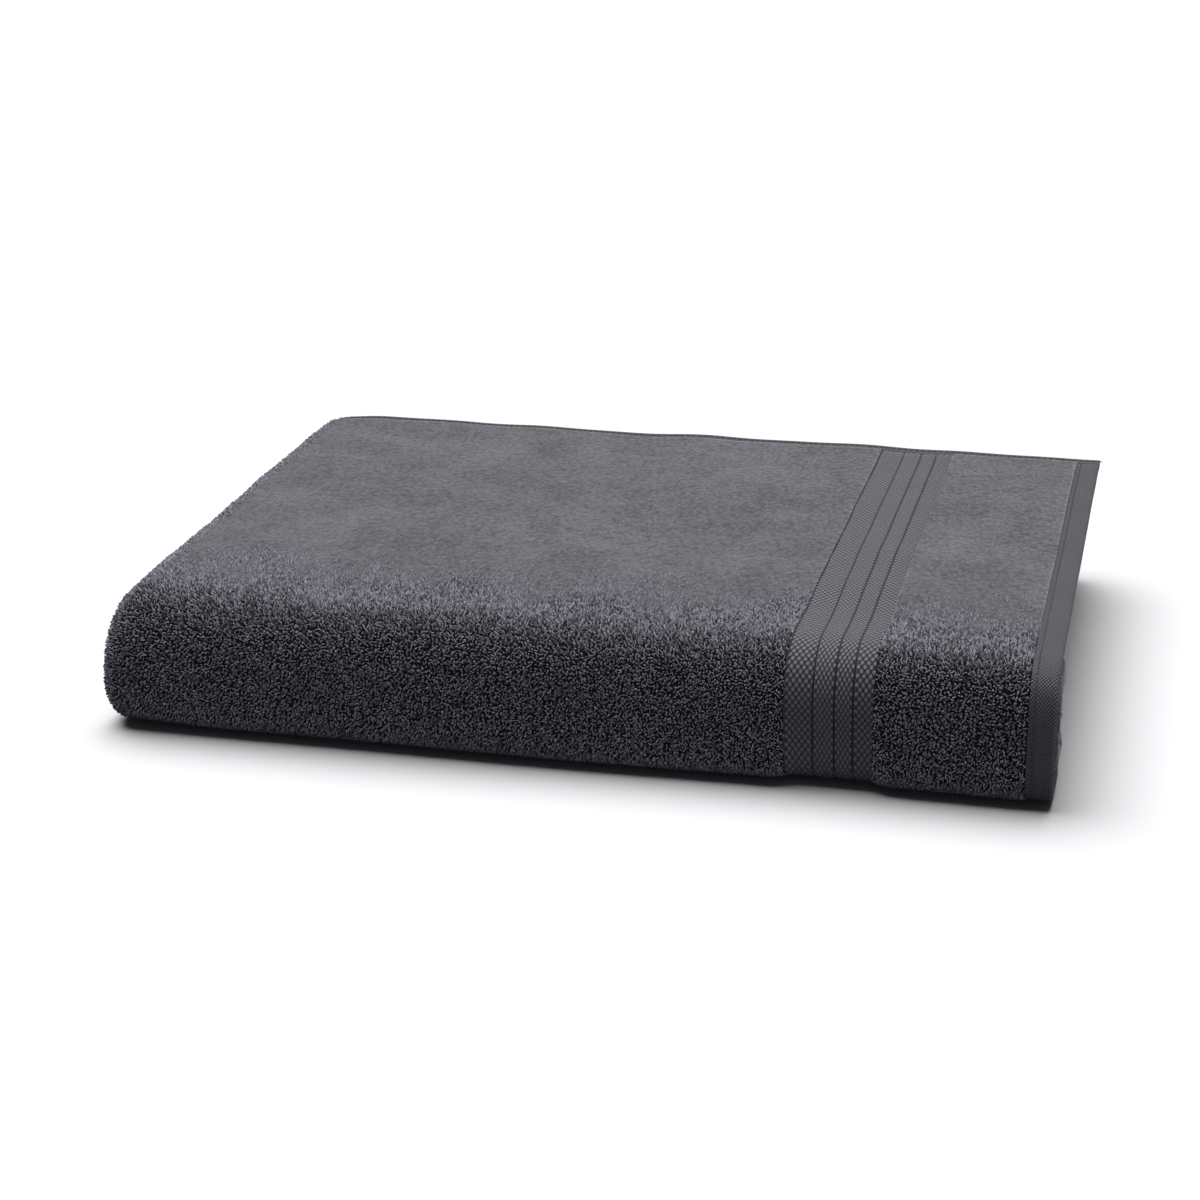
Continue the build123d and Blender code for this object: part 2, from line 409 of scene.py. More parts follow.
def standing(along, across):
    """How upright the pile is, from 0 on a pressed face to 1 where the cloth turns."""
    # The change from brushed to standing pile follows no straight line.
    uneven = 0.013 * waves(along, across, 0.05, 31) + 0.006 * waves(along, across, 0.02, 32)
    at_front = ease(across + uneven, NAP_START, 0.004)
    at_front = at_front * ease(-across, -FRONT_TURN - 0.004, 0.002 - FRONT_TURN)
    at_back = ease(across, TO_BACK_FOLD - 0.010, TO_BACK_FOLD)
    at_back = at_back * ease(-across, -TO_INNER_THIRD - 0.010, -TO_INNER_THIRD)
    at_left = ease(along, TO_LEFT_FOLD - 0.004, TO_LEFT_FOLD + 0.005)
    at_left = at_left * ease(-along, -TO_INNER_LAYER - 0.004, -TO_INNER_LAYER + 0.002)
    outside = ease(-along, -TO_INNER_LAYER - 0.004, -TO_INNER_LAYER + 0.002)
    return np.maximum(np.maximum(at_front, at_back) * outside, at_left)


def terry_upper(along, across):
    """The height of the ground between the loops, over the cloth's middle."""
    up = standing(along, across)
    return 0.5 * LAYER - BRUSHED_DEPTH - (PILE_DEPTH - BRUSHED_DEPTH) * up


def terry_grained(along, across):
    """The same with the small rise and fall of the brushed pile."""
    grain = waves(along, across, 0.0055, 21) + waves(along, across, 0.0038, 22)
    return terry_upper(along, across) + GRAIN_RISE * grain


def terry_lower(along, across):
    return np.full(np.shape(along), UNDERLAP - 0.5 * LAYER)


def maths(tree, operation, *values):
    """A Math node in a shader tree; each value is a number or another node's output."""
    made = tree.nodes.new("ShaderNodeMath")
    made.operation = operation
    for socket, value in zip(made.inputs, values):
        if isinstance(value, bpy.types.NodeSocket):
            tree.links.new(value, socket)
        else:
            socket.default_value = value
    return made.outputs[0]


def mixed(tree, factor, first, second):
    """A colour mix in a shader tree."""
    made = tree.nodes.new("ShaderNodeMix")
    made.data_type = "RGBA"
    tree.links.new(factor, made.inputs["Factor"])
    for socket, value in ((made.inputs["A"], first), (made.inputs["B"], second)):
        if isinstance(value, bpy.types.NodeSocket):
            tree.links.new(value, socket)
        else:
            socket.default_value = value
    return made.outputs["Result"]


def new_group(name, given, made):
    """A shader group with named inputs and outputs, and the nodes that carry them."""
    group = bpy.data.node_groups.new(name, "ShaderNodeTree")
    for label, kind in given:
        group.interface.new_socket(name=label, in_out="INPUT", socket_type="NodeSocket" + kind)
    for label, kind in made:
        group.interface.new_socket(name=label, in_out="OUTPUT", socket_type="NodeSocket" + kind)
    return group, group.nodes.new("NodeGroupInput"), group.nodes.new("NodeGroupOutput")


def noise_at(tree, vector, scale, detail, distortion):
    made = tree.nodes.new("ShaderNodeTexNoise")
    tree.links.new(vector, made.inputs["Vector"])
    tree.links.new(scale, made.inputs["Scale"])
    made.inputs["Detail"].default_value = detail
    made.inputs["Distortion"].default_value = distortion
    return made.outputs["Fac"]


nap, nap_in, nap_out = new_group(
    "terry_nap",
    [("Vector", "Vector"), ("Standing", "Float"), ("Grain Scale", "Float"),
     ("Patch Scale", "Float"), ("Patch Strength", "Float"),
     ("Light", "Color"), ("Dark", "Color"), ("Ground", "Color")],
    [("Colour", "Color"), ("Height", "Float"), ("Covered", "Float")])
combed = nap.nodes.new("ShaderNodeVectorMath")
combed.operation = "MULTIPLY"
nap.links.new(nap_in.outputs["Vector"], combed.inputs[0])
combed.inputs[1].default_value = (1.0, 0.45, 1.0)
grain = noise_at(nap, combed.outputs["Vector"], nap_in.outputs["Grain Scale"], 2.5, 0.8)
curls = nap.nodes.new("ShaderNodeTexVoronoi")
curls.feature = "SMOOTH_F1"
curls.inputs["Smoothness"].default_value = 0.3
nap.links.new(combed.outputs["Vector"], curls.inputs["Vector"])
nap.links.new(nap_in.outputs["Grain Scale"], curls.inputs["Scale"])
# The nap's colour follows its relief, darker in the low places between its curls: painted shade, with
# random patches of tone laid over it.
relief = maths(nap, "SUBTRACT", maths(nap, "MULTIPLY", grain, 1.6), curls.outputs["Distance"])
patches = noise_at(nap, nap_in.outputs["Vector"], nap_in.outputs["Patch Scale"], 4.0, 0.7)
shift = maths(nap, "MULTIPLY", maths(nap, "SUBTRACT", patches, 0.5),
              nap_in.outputs["Patch Strength"])
shade_and_patch_tone = maths(nap, "ADD", maths(nap, "MULTIPLY_ADD", relief, 0.9, 0.2), shift)
tone_limits = nap.nodes.new("ShaderNodeClamp")
nap.links.new(shade_and_patch_tone, tone_limits.inputs["Value"])
brushed = mixed(nap, tone_limits.outputs["Result"], nap_in.outputs["Dark"],
                nap_in.outputs["Light"])
# Where the pile stands, the colour goes over to the near-black ground colour: painted shade in the
# gaps between the loops. The sheen is kept off that painted shade.
between = maths(nap, "POWER", nap_in.outputs["Standing"], 8.0)
nap.links.new(mixed(nap, between, brushed, nap_in.outputs["Ground"]), nap_out.inputs["Colour"])
nap.links.new(relief, nap_out.inputs["Height"])
nap.links.new(maths(nap, "SUBTRACT", 1.0, between), nap_out.inputs["Covered"])


def cotton(name, roughness=0.95, sheen=0.3):
    """A material for dyed cotton, with its node tree ready for a pattern."""
    material = bpy.data.materials.new(name)
    material.use_nodes = True
    shader = material.node_tree.nodes["Principled BSDF"]
    shader.inputs["Roughness"].default_value = roughness
    shader.inputs["Sheen Weight"].default_value = sheen
    shader.inputs["Sheen Roughness"].default_value = 0.5
    shader.inputs["Specular IOR Level"].default_value = 0.15
    return material, material.node_tree, shader


def bump(tree, shader, height, strength, distance):
    made = tree.nodes.new("ShaderNodeBump")
    made.inputs["Strength"].default_value = strength
    made.inputs["Distance"].default_value = distance
    tree.links.new(height, made.inputs["Height"])
    tree.links.new(made.outputs["Normal"], shader.inputs["Normal"])


terry, terry_tree, terry_shader = cotton("terry")
terry_place = terry_tree.nodes.new("ShaderNodeTexCoord")
terry_pile = terry_tree.nodes.new("ShaderNodeAttribute")
terry_pile.attribute_name = "pile"
terry_nap = terry_tree.nodes.new("ShaderNodeGroup")
terry_nap.node_tree = nap
terry_tree.links.new(terry_place.outputs["Object"], terry_nap.inputs["Vector"])
terry_tree.links.new(terry_pile.outputs["Fac"], terry_nap.inputs["Standing"])
terry_nap.inputs["Grain Scale"].default_value = 620.0
terry_nap.inputs["Patch Scale"].default_value = 38.0
terry_nap.inputs["Patch Strength"].default_value = 1.4
terry_nap.inputs["Light"].default_value = (0.064, 0.063, 0.072, 1.0)
terry_nap.inputs["Dark"].default_value = (0.017, 0.017, 0.020, 1.0)
# The ground's near-black is painted shade between the standing loops.
terry_nap.inputs["Ground"].default_value = (0.004, 0.004, 0.005, 1.0)
terry_tree.links.new(terry_nap.outputs["Colour"], terry_shader.inputs["Base Color"])
terry_tree.links.new(maths(terry_tree, "MULTIPLY", terry_nap.outputs["Covered"], 0.3),
                     terry_shader.inputs["Sheen Weight"])
bump(terry_tree, terry_shader, terry_nap.outputs["Height"], 0.55, 0.0006)


# The outer terry: the outer layer from the border to the middle of the rounded left end. It is
# the towel's top, front and underside, woven in one with the border and folded over the rest.
BORDER_START = hem_high.x - border_high.x
BORDER_STOP = hem_high.x - border_low.x
SKIN_STEP = 0.0016
lay_cloth("outer_terry", steps(BORDER_STOP, LEFT_RIDGE, SKIN_STEP), 0.0018, SKIN_STEP,
          terry_grained, terry_lower, terry, ["outer_terry", "left_outer_fold"])

# The end strip: the same terry, woven on past the border as a strip as far as the hem. Both of
# its sides are held flat, by the border and by the hem's seam.
HEM_STOP = hem_high.x - hem_low.x
lay_cloth("end_terry", steps(HEM_STOP, BORDER_START, SKIN_STEP), SKIN_STEP, SKIN_STEP,
          terry_grained, terry_lower, terry, ["outer_end_terry"])


# The border: a flat band without pile, woven in the same cloth, in four bars that narrow
# grooves part. The outer bars are woven in small diamonds and the middle two in narrower ones.
BORDER_THICK = border_high.z - border_low.z
GROOVES = (0.0070, 0.0135, 0.0210)     # from the border's edge nearest the hem
GROOVE_HALF = 0.00035
GROOVE_DEPTH = 0.0005
BAND_EDGE = 0.0004      # how far the band's two edges are rounded down
BAND_SWELL = 0.00012    # how far it rises and falls along its length


def border_upper(along, across):
    """The band's face, sunk in the grooves and rounded off at its edges."""
    place = along - BORDER_START
    width = BORDER_STOP - BORDER_START
    sunk = np.zeros(np.shape(along))
    for groove in GROOVES:
        sunk = np.maximum(sunk, 1 - ease(np.abs(place - groove), 0.3 * GROOVE_HALF, 0.0006))
    edge = 1 - ease(np.minimum(place, width - place), 0.0, 0.0006)
    swell = BAND_SWELL * waves(along, across, 0.030, 41)
    return 0.5 * BORDER_THICK - GROOVE_DEPTH * sunk - BAND_EDGE * edge + swell


def border_lower(along, across):
    return np.full(np.shape(along), -0.5 * BORDER_THICK)


weave, weave_in, weave_out = new_group(
    "dobby_weave",
    [("Along", "Float"), ("Across", "Float"), ("Cell Width", "Float"), ("Cell Length", "Float")],
    [("Height", "Float")])
cell_u = maths(weave, "DIVIDE", weave_in.outputs["Along"], weave_in.outputs["Cell Width"])
cell_v = maths(weave, "DIVIDE", weave_in.outputs["Across"], weave_in.outputs["Cell Length"])
pillow = None
for diagonal in (maths(weave, "ADD", cell_u, cell_v), maths(weave, "SUBTRACT", cell_u, cell_v)):
    near = maths(weave, "MULTIPLY", maths(weave, "PINGPONG", diagonal, 0.5), 2.0)
    pillow = near if pillow is None else maths(weave, "MULTIPLY", pillow, near)
flat_topped = maths(weave, "MINIMUM", maths(weave, "MULTIPLY", pillow, 2.0), 1.0)
weave.links.new(maths(weave, "POWER", flat_topped, 0.8), weave_out.inputs["Height"])


def woven(name, light, dark, strength):
    """A material for flat weave, with the places on the cloth ready and its colours mixed by the
    weave's height, darker in its hollows as painted shade.
    """
    material, tree, shader = cotton(name, roughness=0.8, sheen=0.2)
    map_node = tree.nodes.new("ShaderNodeUVMap")
    map_node.uv_map = "cloth"
    parts = tree.nodes.new("ShaderNodeSeparateXYZ")
    tree.links.new(map_node.outputs["UV"], parts.inputs["Vector"])

    def use(height):
        # Low in the weave the colour goes to the near-black dark: painted shade in its hollows.
        tree.links.new(mixed(tree, height, dark, light), shader.inputs["Base Color"])
        bump(tree, shader, height, strength, 0.0007)

    return material, tree, parts.outputs["X"], parts.outputs["Y"], use


def in_group(tree, group, **values):
    """A group's node in a material, with each input a number or another node's output."""
    made = tree.nodes.new("ShaderNodeGroup")
    made.node_tree = group
    for label, value in values.items():
        socket = made.inputs[label.replace("_", " ")]
        if isinstance(value, bpy.types.NodeSocket):
            tree.links.new(value, socket)
        else:
            socket.default_value = value
    return made


DIAMOND_WIDTH = 0.0022
NARROWER = -0.00058     # how much less wide a diamond is in the middle bars
DIAMOND_LENGTH = 0.0030
# The border's near-black dark is painted shade, in the diamonds' hollows and in the grooves.
border_weave, border_tree, border_u, border_v, use_border = woven(
    "border_weave", (0.099, 0.097, 0.115, 1.0), (0.003, 0.003, 0.004, 1.0), 1.0)
border_place = maths(border_tree, "SUBTRACT", border_u, BORDER_START)
in_middle = maths(border_tree, "MULTIPLY",
                  maths(border_tree, "GREATER_THAN", border_place, GROOVES[0]),
                  maths(border_tree, "LESS_THAN", border_place, GROOVES[2]))
bar_place = maths(border_tree, "SUBTRACT", border_place, GROOVES[0])
cell_width = maths(border_tree, "MULTIPLY_ADD", in_middle, NARROWER, DIAMOND_WIDTH)
diamonds = in_group(border_tree, weave, Along=bar_place, Across=border_v,
                    Cell_Width=cell_width, Cell_Length=DIAMOND_LENGTH)
# In the grooves the colour is the near-black dark too: painted shade, over the grooves that the
# band's own shape sinks.
groove_shade_mask = None
for groove in GROOVES:
    away = maths(border_tree, "ABSOLUTE", maths(border_tree, "SUBTRACT", border_place, groove))
    clear = maths(border_tree, "GREATER_THAN", away, GROOVE_HALF)
    groove_shade_mask = clear if groove_shade_mask is None else maths(border_tree, "MULTIPLY", groove_shade_mask, clear)
use_border(maths(border_tree, "MULTIPLY", diamonds.outputs["Height"], groove_shade_mask))

lay_cloth("border", steps(BORDER_START, BORDER_STOP, 0.0005), 0.004, 0.002,
          border_upper, border_lower, border_weave, ["outer_border"])


# The hem: the cloth's end, a flat fine weave without pile, turned in twice and sewn down. It is
# rounded at its free edge, and its seam pinches it near the other.
HEM_THICK = hem_high.z - hem_low.z
HEM_ROUND = 0.0013      # how wide the rounding of a hem's free edge is
HEM_CLOSING = 0.55      # how much of its thickness a hem loses at that edge
SEAM_PINCH = 0.00025


def hem_upper(along, across):
    """The hem's face, rounded at its free edge and pinched along its seam."""
    edge = 1 - ease(along, 0.0, HEM_ROUND)
    seam = 1 - ease(np.abs(along - SEAM), 0.0002, 0.0011)
    return 0.5 * HEM_THICK * (1 - HEM_CLOSING * edge * edge) - SEAM_PINCH * seam


def hem_lower(along, across):
    edge = 1 - ease(along, 0.0, HEM_ROUND)
    return -0.5 * HEM_THICK * (1 - HEM_CLOSING * edge * edge)


stitch_low, stitch_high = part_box("top_outer_hem_stitch")
SEAM = hem_high.x - (stitch_low.x + stitch_high.x) / 2
# The hem's near-black dark is painted shade in the hollows of its fine weave.
hem_weave, hem_tree, hem_u, hem_v, use_hem = woven(
    "hem_weave", (0.066, 0.064, 0.076, 1.0), (0.005, 0.005, 0.007, 1.0), 1.0)
pique = in_group(hem_tree, weave, Along=hem_u, Across=hem_v, Cell_Width=0.0012,
                 Cell_Length=0.0013)
use_hem(pique.outputs["Height"])
lay_cloth("hem", chain(0.0, (0.0016, 0.0003), (HEM_STOP, 0.0005)), 0.004, 0.002,
          hem_upper, hem_lower, hem_weave, ["outer_hem"])


# The inner layers: the same terry, on from the middle of the left end, under the top layer,
# round the small fold at the right, back, and forward again to the second border. It is one
# stretch of cloth, held only by the layers that lie on it.
SECOND_BORDER = CLOTH_END - (hem_high.x - border_low.x)
lay_cloth(
    "inner_terry",
    chain(LEFT_RIDGE, (TO_INNER_LAYER, 0.0012), (TO_RIGHT_FOLD - 0.004, 0.006),
          (TO_THIRD_LAYER + 0.004, 0.0007), (TO_SMALL_FOLD, 0.008), (TO_SECOND_LAYER, 0.0009),
          (SECOND_BORDER, 0.008)),
    0.005, 0.0022, terry_upper, terry_lower, terry,
    ["inner_terry", "right_fold", "third_terry", "left_inner_fold", "second_terry"])


# The second end of the cloth: its own border, end strip and hem, woven and hemmed as the first.
# It lies under the first end, and its hem stops a little short of it.
def from_second_end(height):
    """The same height, for a place measured from the second end."""
    return lambda along, across: height(CLOTH_END - along, across)


lay_cloth("second_border", steps(SECOND_BORDER, CLOTH_END - BORDER_START, 0.0010), 0.006, 0.003,
          from_second_end(border_upper), border_lower, border_weave,
          ["second_border"])
lay_cloth("second_end_terry", steps(CLOTH_END - BORDER_START, CLOTH_END - HEM_STOP, 0.004),
          0.006, 0.003, terry_upper, terry_lower, terry, ["second_end_terry"])
lay_cloth("second_hem",
          chain(CLOTH_END - HEM_STOP, (CLOTH_END - 0.0016, 0.0009), (CLOTH_END, 0.0003)),
          0.005, 0.002, from_second_end(hem_upper), from_second_end(hem_lower),
          hem_weave, ["second_hem"])


# The side hems: the cloth's two selvages, flat weave turned in twice and sewn. One ends the top
# leaf at the back, and one ends the inner third inside the towel.
SIDE_HALF = 0.00135
FOLD_ROUND = 0.0008     # how wide the rounding of the edge beside the terry is
FOLD_CLOSING = 0.25     # how much of its thickness the hem loses there
all_along = chain(0.0, (0.002, 0.0005), (TO_LEFT_FOLD, 0.004), (TO_INNER_LAYER, 0.0012),
                  (TO_RIGHT_FOLD, 0.006), (TO_THIRD_LAYER, 0.0007), (TO_SMALL_FOLD, 0.006),
                  (TO_SECOND_LAYER, 0.0009), (CLOTH_END, 0.006))


def lay_side_hem(name, leaf, inner_edge, free_edge, nodes):
    """A selvage hem between two places across the packet."""
    acrosses = chain(min(inner_edge, free_edge), (max(inner_edge, free_edge), 0.0008))

    def rounded(along, across):
        edge = 1 - ease(np.abs(across - free_edge), 0.0, HEM_ROUND)
        fold = 1 - ease(np.abs(across - inner_edge), 0.0, FOLD_ROUND)
        return SIDE_HALF * (1 - HEM_CLOSING * edge * edge - FOLD_CLOSING * fold)

    mesh = closed_sheet(name, all_along, acrosses, rounded, lambda a, c: -rounded(a, c))
    piece = place_piece(name, mesh, leaf, [hem_weave])
    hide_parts(*nodes)
    cloth_pieces[name] = {"piece": piece, "with": [],
                          "flat": (abs(inner_edge - free_edge), all_along[-1])}


lay_side_hem("leaf_side_hem", True, LEAF_END + SIDE_HEM, LEAF_END, ["top_side_hem"])
lay_side_hem("lower_side_hem", False, PACKET_END - SIDE_HEM, PACKET_END, ["base_side_hem"])


# The seams of the hems: lockstitch in charcoal thread, coloured darker than the cloth as painted
# shade of the gaps along the stitches. Each stitch is a short raised bar that dips into the cloth
# at both ends.
thread, _, thread_shader = cotton("thread", roughness=0.7, sheen=0.1)
# Darker than the cloth: painted shade of the gaps along the stitches, over the thread's own charcoal.
thread_shader.inputs["Base Color"].default_value = (0.016, 0.016, 0.019, 1.0)


def socket_in(tree, name, kind, value=None):
    made = tree.interface.new_socket(name=name, in_out="INPUT", socket_type="NodeSocket" + kind)
    if value is not None:
        made.default_value = value
    return made


def geometry_tree(name, numbers):
    """A Geometry Nodes tree with a mesh going in, named numbers and a mesh coming out."""
    tree = bpy.data.node_groups.new(name, "GeometryNodeTree")
    socket_in(tree, "Geometry", "Geometry")
    for label, value in numbers:
        socket_in(tree, label, "Float", value)
    socket_in(tree, "Seed", "Int", 1)
    tree.interface.new_socket(name="Geometry", in_out="OUTPUT", socket_type="NodeSocketGeometry")
    return tree, tree.nodes.new("NodeGroupInput"), tree.nodes.new("NodeGroupOutput")


def node(tree, kind, inputs=(), **settings):
    """A node with its settings, and its inputs given as numbers or other nodes' outputs."""
    made = tree.nodes.new(kind)
    for label, value in settings.items():
        setattr(made, label, value)
    for label, value in dict(inputs).items():
        if isinstance(value, bpy.types.NodeSocket):
            tree.links.new(value, made.inputs[label])
        else:
            made.inputs[label].default_value = value
    return made


def scaled(tree, socket, factor):
    return node(tree, "ShaderNodeMath", {0: socket, 1: factor}, operation="MULTIPLY").outputs[0]


def arch(tree, width, lean, height, radius, segments, sides):
    """A tube bent into an arch over the X axis, leaning along Y."""
    start = node(tree, "ShaderNodeCombineXYZ", {"X": scaled(tree, width, -0.5)})
    end = node(tree, "ShaderNodeCombineXYZ", {"X": scaled(tree, width, 0.5)})
    top = node(tree, "ShaderNodeCombineXYZ", {"Y": lean, "Z": scaled(tree, height, 2.0)})
    line = node(tree, "GeometryNodeCurveQuadraticBezier",
                {"Resolution": segments, "Start": start.outputs[0], "Middle": top.outputs[0],
                 "End": end.outputs[0]})
    ring = node(tree, "GeometryNodeCurvePrimitiveCircle", {"Resolution": sides, "Radius": radius})
    tube = node(tree, "GeometryNodeCurveToMesh",
                {"Curve": line.outputs["Curve"], "Profile Curve": ring.outputs["Curve"]})
    return tube.outputs["Mesh"]


def run_tree(name, mesh, tree, values):
    """The mesh that a tree makes of a mesh, with the tree's inputs set by name."""
    holder = bpy.data.objects.new(name, mesh)
    bpy.context.scene.collection.objects.link(holder)
    modifier = holder.modifiers.new("nodes", "NODES")
    modifier.node_group = tree
    for item in tree.interface.items_tree:
        if item.item_type == "SOCKET" and item.in_out == "INPUT" and item.name in values:
            modifier[item.identifier] = values[item.name]
    bpy.context.view_layer.update()
    graph = bpy.context.evaluated_depsgraph_get()
    result = bpy.data.meshes.new_from_object(holder.evaluated_get(graph), depsgraph=graph)
    result.name = name
    holder.modifiers.clear()
    bpy.data.objects.remove(holder)
    bpy.data.meshes.remove(mesh)
    return result


STITCH_PITCH = 0.0026
THREAD_RADIUS = 0.0002
seam_tree, seam_in, seam_out = geometry_tree(
    "seam_stitches",
    [("Pitch", STITCH_PITCH), ("Stitch Length", 0.0019), ("Stitch Height", 0.00025),
     ("Thread", THREAD_RADIUS)])
seam_line = node(seam_tree, "GeometryNodeMeshToCurve", {"Mesh": seam_in.outputs["Geometry"]})
seam_points = node(seam_tree, "GeometryNodeResampleCurve",
                   {"Curve": seam_line.outputs["Curve"], "Length": seam_in.outputs["Pitch"]},
                   mode="LENGTH")
outward = node(seam_tree, "GeometryNodeInputNamedAttribute", {"Name": "outward"},
               data_type="FLOAT_VECTOR")
tangent = node(seam_tree, "GeometryNodeInputTangent")
upright = node(seam_tree, "FunctionNodeAlignRotationToVector",
               {"Vector": outward.outputs[0]}, axis="Z")
turned_to = node(seam_tree, "FunctionNodeAlignRotationToVector",
                 {"Rotation": upright.outputs[0], "Vector": tangent.outputs[0]},
                 axis="X", pivot_axis="Z")
stitch = arch(seam_tree, seam_in.outputs["Stitch Length"], 0.0,
              seam_in.outputs["Stitch Height"], seam_in.outputs["Thread"], 4, 4)
seam_set = node(seam_tree, "GeometryNodeInstanceOnPoints",
                {"Points": seam_points.outputs["Curve"], "Instance": stitch,
                 "Rotation": turned_to.outputs[0]})
seam_real = node(seam_tree, "GeometryNodeRealizeInstances",
                 {"Geometry": seam_set.outputs["Instances"]})
seam_smooth = node(seam_tree, "GeometryNodeSetShadeSmooth",
                   {"Geometry": seam_real.outputs["Geometry"]})
seam_dyed = node(seam_tree, "GeometryNodeSetMaterial",
                 {"Geometry": seam_smooth.outputs["Geometry"], "Material": thread})
seam_tree.links.new(seam_dyed.outputs["Geometry"], seam_out.inputs["Geometry"])


def seam_mesh(name, alongs, acrosses, height):
    """A seam line on the cloth, whose points know which way is out."""
    def at(rise):
        x, depth = section_of(alongs, rise)
        y, z = path_of(acrosses, depth)
        return np.stack(settled(x, y, z), -1)

    line = at(height)
    out = at(height + 0.001) - line
    mesh = bpy.data.meshes.new(name + "_line")
    mesh.from_pydata(line.tolist(), [(i, i + 1) for i in range(len(line) - 1)], [])
    attribute = mesh.attributes.new("outward", "FLOAT_VECTOR", "POINT")
    attribute.data.foreach_set("vector", out.astype(np.float32).ravel())
    return mesh


def sew(name, cloth, alongs, acrosses, height, leaf, nodes, pitch=STITCH_PITCH,
        thickness=THREAD_RADIUS):
    """Stitches along a line of places, on a piece of cloth."""
    alongs, acrosses = np.broadcast_arrays(alongs, acrosses)
    mesh = run_tree(name, seam_mesh(name, alongs, acrosses, np.full(alongs.shape, height)),
                    seam_tree, {"Pitch": pitch, "Thread": thickness})
    piece = place_piece(name, mesh, leaf)
    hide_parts(*nodes)
    cloth_pieces[cloth]["with"].append(piece)


def seam_run(leaf):
    """The places across a span that a seam's line goes through."""
    return across_leaf(0.003, 0.0015) if leaf else across_base(0.003, 0.0015)


SEAM_RISE = 0.5 * HEM_THICK - 0.0003      # the thread beds a little into the pinched hem
for span, leaf, prefixes in SPANS:
    run = seam_run(leaf)
    sew(span + "_hem_stitch", span + "_hem", SEAM, run, SEAM_RISE, leaf,
        [prefix + "outer_hem_stitch" for prefix in prefixes])
    sew(span + "_second_hem_stitch", span + "_second_hem", CLOTH_END - SEAM, run, SEAM_RISE, leaf,
        [prefix + "second_hem_stitch" for prefix in prefixes])
sew("leaf_side_hem_stitch", "leaf_side_hem", all_along, LEAF_END + SIDE_HEM / 2,
    SIDE_HALF - 0.0001, True, ["top_side_hem_stitch"])
sew("lower_side_hem_stitch", "lower_side_hem", all_along, PACKET_END - SIDE_HEM / 2,
    SIDE_HALF - 0.0001, False, ["base_side_hem_stitch"])


# The row of binding stitches where the border meets the main terry: short bars of a thicker
# dark thread along the edge, which hold down the last loops. Their dark colour also stands for
# the shade in the gap where the pile meets the border: painted shade.
BINDING_PITCH = 0.0030
BINDING_RADIUS = 0.00038
for span, leaf, prefixes in SPANS:
    sew(span + "_border_stitch", span + "_border", BORDER_STOP - 0.0003, seam_run(leaf),
        0.5 * BORDER_THICK - 0.0001, leaf, [], pitch=BINDING_PITCH,
        thickness=BINDING_RADIUS)


# The standing pile: loops of soft twisted cotton, woven into the ground and turned every way,
# where the cloth bends and opens them. The yarn takes the dye a little unevenly, so the loops
# come in three tones. Where the pile lies flatter, on the fold's lit top, they take the lighter
# tones more often: painted light.
def yarn(name, colour):
    material, _, shader = cotton(name, roughness=0.92, sheen=0.12)
    shader.inputs["Base Color"].default_value = (*colour, 1.0)
    return material


yarns = [
    yarn("yarn_light", (0.232, 0.228, 0.256)),
    yarn("yarn_middle", (0.148, 0.145, 0.164)),
    yarn("yarn_dark", (0.060, 0.059, 0.069)),
]

LOOP_SPACING = 0.00076
BACK_SPACING = 0.0010   # the same on the faces turned away, where fewer loops will do
pile_tree, pile_in, pile_out = geometry_tree(
    "standing_pile",
    [("Spacing", LOOP_SPACING), ("Loop Width", 0.00055), ("Loop Height", 0.0012),
     ("Yarn", 0.00024), ("Lean", 0.6)])
pile_amount = node(pile_tree, "GeometryNodeInputNamedAttribute", {"Name": "pile"},
                   data_type="FLOAT")
pile_density = node(pile_tree, "ShaderNodeMapRange",
                    {"Value": pile_amount.outputs[0], "From Min": 0.02, "From Max": 0.4})
pile_points = node(pile_tree, "GeometryNodeDistributePointsOnFaces",
                   {"Mesh": pile_in.outputs["Geometry"],
                    "Distance Min": pile_in.outputs["Spacing"], "Density Max": 4.0e6,
                    "Density Factor": pile_density.outputs[0], "Seed": pile_in.outputs["Seed"]},
                   distribute_method="POISSON")
lean = pile_in.outputs["Lean"]
lean_back = scaled(pile_tree, lean, -1.0)
turn_low = node(pile_tree, "ShaderNodeCombineXYZ", {"X": lean_back, "Y": lean_back})
turn_high = node(pile_tree, "ShaderNodeCombineXYZ", {"X": lean, "Y": lean, "Z": 2 * math.pi})
turns = node(pile_tree, "FunctionNodeRandomValue",
             {0: turn_low.outputs[0], 1: turn_high.outputs[0], "Seed": pile_in.outputs["Seed"]},
             data_type="FLOAT_VECTOR")
spin = node(pile_tree, "FunctionNodeEulerToRotation", {"Euler": turns.outputs[0]})
facing = node(pile_tree, "FunctionNodeRotateRotation",
              {"Rotation": pile_points.outputs["Rotation"], "Rotate By": spin.outputs[0]},
              rotation_space="LOCAL")
growth = node(pile_tree, "ShaderNodeMapRange",
              {"Value": pile_amount.outputs[0], "To Min": 0.45, "To Max": 1.0})
variety = node(pile_tree, "FunctionNodeRandomValue", {2: 0.8, 3: 1.2}, data_type="FLOAT")
size = node(pile_tree, "ShaderNodeMath", {0: growth.outputs[0], 1: variety.outputs[1]},
            operation="MULTIPLY")
loop = arch(pile_tree, pile_in.outputs["Loop Width"],
            scaled(pile_tree, pile_in.outputs["Loop Width"], 0.45),
            pile_in.outputs["Loop Height"], pile_in.outputs["Yarn"], 3, 3)
pile_set = node(pile_tree, "GeometryNodeInstanceOnPoints",
                {"Points": pile_points.outputs["Points"], "Instance": loop,
                 "Rotation": facing.outputs[0], "Scale": size.outputs[0]})
dye = node(pile_tree, "FunctionNodeRandomValue", {2: 0.0, 3: 1.0}, data_type="FLOAT")
